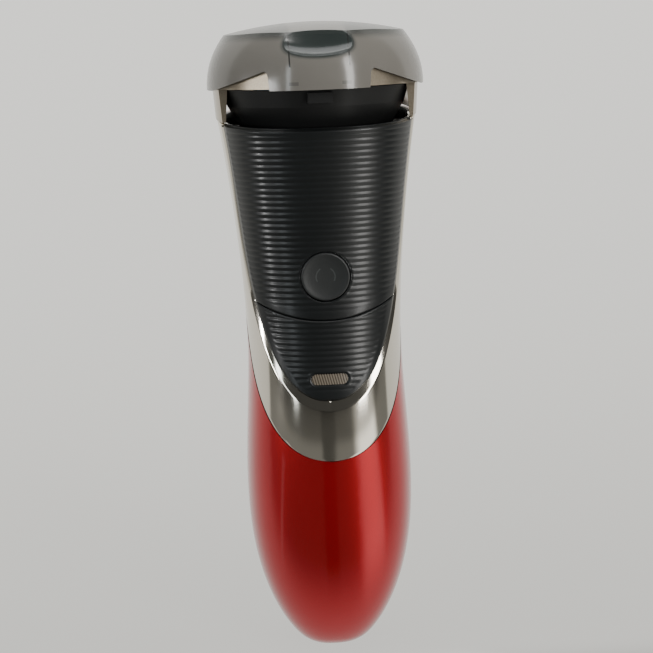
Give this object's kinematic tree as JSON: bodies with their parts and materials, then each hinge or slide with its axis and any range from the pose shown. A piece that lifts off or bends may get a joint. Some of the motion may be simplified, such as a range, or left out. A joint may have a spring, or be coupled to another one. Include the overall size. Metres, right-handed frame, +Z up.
{
  "type": "electric shaver",
  "caption": "Cordless rotary shaver: waisted red handle, chrome band, ribbed black front with round button, three floating heads in a flip-open frame, clear cap, pop-up trimmer.",
  "frame": {"origin": "middle of the flat end face of the handle, at the mouth of the charging socket", "axes": "+Z up along the handle to the head, -Y is the front with the power button, +X is to the right seen from the front"},
  "size_m": [0.0542, 0.052, 0.165],
  "materials": {
    "red_lacquer": "metallic red lacquer under a clear coat",
    "chrome_trim": "mirror chrome plating on plastic",
    "black_panel": "ribbed black plastic, half gloss",
    "black_button": "satin black",
    "window": "smoke-beige light window",
    "black_rubber": "soft black",
    "black_plastic": "satin black",
    "inner_plastic": "plain moulding",
    "gear_plastic": "natural acetal",
    "silver_plastic": "champagne silver lacquer",
    "clear_smoke": "smoke-tinted clear plastic",
    "steel": "bright steel",
    "magnet": "ferrite",
    "brass": "bright",
    "cell_wrap": "shrink sleeve on a steel can",
    "board": "solder mask on laminate",
    "clear_plastic": "clear light guide"
  },
  "bodies": {
    "handle": {"red_shell": "red_lacquer", "chrome_trim": "chrome_trim", "upper_front_panel": "black_panel", "lower_front_panel": "black_panel", "charge_window": "window", "rear_grip": "black_rubber", "inner_frame": "inner_plastic", "battery_cell": "cell_wrap", "battery_tabs": "steel", "circuit_board": "board", "tact_switch": "steel", "charge_led": "clear_plastic", "light_guide": "clear_plastic", "board_components": "black_plastic", "charging_socket": "black_plastic", "charging_contacts": "brass", "internal_leads": "black_rubber", "motor_magnets": "magnet", "motor_end_cap": "black_plastic", "motor_terminals": "brass", "motor_can": "steel", "motor_screws": "steel", "gearbox_plate": "inner_plastic", "gear_axles": "steel", "top_deck": "black_plastic", "deck_screws": "steel", "hair_chamber": "black_plastic", "spindle_seals": "black_rubber", "head_hinge_pin": "steel", "trimmer_housing": "black_plastic", "trimmer_hinge_pin": "steel"},
    "power_button": {"power_button": "black_button"},
    "rotor": {"motor_shaft": "steel", "rotor_core": "steel", "drive_pinion": "gear_plastic"},
    "head": {"head_frame": "silver_plastic", "head_holder": "black_plastic"},
    "cap": {"protective_cap": "clear_smoke"},
    "trimmer": {"trimmer_cover": "black_plastic", "trimmer_comb": "steel"},
    "trimmer_blade": {"trimmer_blade": "steel"},
    "trimmer_slider": {"trimmer_slider": "black_plastic"},
    "drive_1": {"drive_gear_1": "gear_plastic", "drive_spindle_1": "gear_plastic"},
    "floating_head_1": {"head_ring_1": "silver_plastic", "guard_1": "steel"},
    "cutter_1": {"cutter_1": "steel", "cutter_carrier_1": "gear_plastic"},
    "drive_2": {"drive_gear_2": "gear_plastic", "drive_spindle_2": "gear_plastic"},
    "floating_head_2": {"head_ring_2": "silver_plastic", "guard_2": "steel"},
    "cutter_2": {"cutter_2": "steel", "cutter_carrier_2": "gear_plastic"},
    "drive_3": {"drive_gear_3": "gear_plastic", "drive_spindle_3": "gear_plastic"},
    "floating_head_3": {"head_ring_3": "silver_plastic", "guard_3": "steel"},
    "cutter_3": {"cutter_3": "steel", "cutter_carrier_3": "gear_plastic"}
  },
  "joints": [
    {"name": "power_press", "type": "slide", "parent": "handle", "child": "power_button", "axis": [0, 1, 0], "range_m": [0, 0.0006], "stiffness_N_per_m": 800, "springref_m": -0.0006},
    {"name": "motor_spin", "type": "hinge", "parent": "handle", "child": "rotor", "pos_m": [0, 0.002, 0.12], "axis": [0, 0, 1], "continuous": true},
    {"name": "head_flip", "type": "hinge", "parent": "handle", "child": "head", "pos_m": [0, 0.0236, 0.147], "axis": [-1, 0, 0], "range_deg": [0, 100]},
    {"name": "drive_spin_1", "type": "hinge", "parent": "handle", "child": "drive_1", "pos_m": [0, -0.01075, 0.1357], "axis": [0, 0, 1], "continuous": true},
    {"name": "head_float_1", "type": "slide", "parent": "head", "child": "floating_head_1", "axis": [0, 0, -1], "range_m": [0, 0.0012], "stiffness_N_per_m": 300, "springref_m": -0.001},
    {"name": "cutter_spin_1", "type": "hinge", "parent": "floating_head_1", "child": "cutter_1", "pos_m": [0, -0.01075, 0.152], "axis": [0, 0, 1], "continuous": true},
    {"name": "drive_spin_2", "type": "hinge", "parent": "handle", "child": "drive_2", "pos_m": [0.01104, 0.00838, 0.1357], "axis": [0, 0, 1], "continuous": true},
    {"name": "head_float_2", "type": "slide", "parent": "head", "child": "floating_head_2", "axis": [0, 0, -1], "range_m": [0, 0.0012], "stiffness_N_per_m": 300, "springref_m": -0.001},
    {"name": "cutter_spin_2", "type": "hinge", "parent": "floating_head_2", "child": "cutter_2", "pos_m": [0.01104, 0.00838, 0.152], "axis": [0, 0, 1], "continuous": true},
    {"name": "drive_spin_3", "type": "hinge", "parent": "handle", "child": "drive_3", "pos_m": [-0.01104, 0.00838, 0.1357], "axis": [0, 0, 1], "continuous": true},
    {"name": "head_float_3", "type": "slide", "parent": "head", "child": "floating_head_3", "axis": [0, 0, -1], "range_m": [0, 0.0012], "stiffness_N_per_m": 300, "springref_m": -0.001},
    {"name": "cutter_spin_3", "type": "hinge", "parent": "floating_head_3", "child": "cutter_3", "pos_m": [-0.01104, 0.00838, 0.152], "axis": [0, 0, 1], "continuous": true},
    {"name": "cap_pull", "type": "slide", "parent": "head", "child": "cap", "axis": [0, 0, 1], "range_m": [0, 0.03]},
    {"name": "trimmer_pop", "type": "hinge", "parent": "handle", "child": "trimmer", "pos_m": [0, 0.0163, 0.1245], "axis": [1, 0, 0], "range_deg": [0, 65]},
    {"name": "trimmer_slide", "type": "slide", "parent": "handle", "child": "trimmer_slider", "axis": [0, 0, 1], "range_m": [0, 0.004]},
    {"name": "trimmer_blade_stroke", "type": "slide", "parent": "trimmer", "child": "trimmer_blade", "axis": [1, 0, 0], "range_m": [-0.001, 0.001]}
  ],
  "couplings": [
    {"joint": "drive_spin_1", "follows": "motor_spin", "ratio": -0.75862},
    {"joint": "cutter_spin_1", "follows": "motor_spin", "ratio": -0.75862},
    {"joint": "drive_spin_2", "follows": "motor_spin", "ratio": -0.75862},
    {"joint": "cutter_spin_2", "follows": "motor_spin", "ratio": -0.75862},
    {"joint": "drive_spin_3", "follows": "motor_spin", "ratio": -0.75862},
    {"joint": "cutter_spin_3", "follows": "motor_spin", "ratio": -0.75862},
    {"joint": "trimmer_slide", "follows": "trimmer_pop", "m_per_rad": 0.003525}
  ]
}
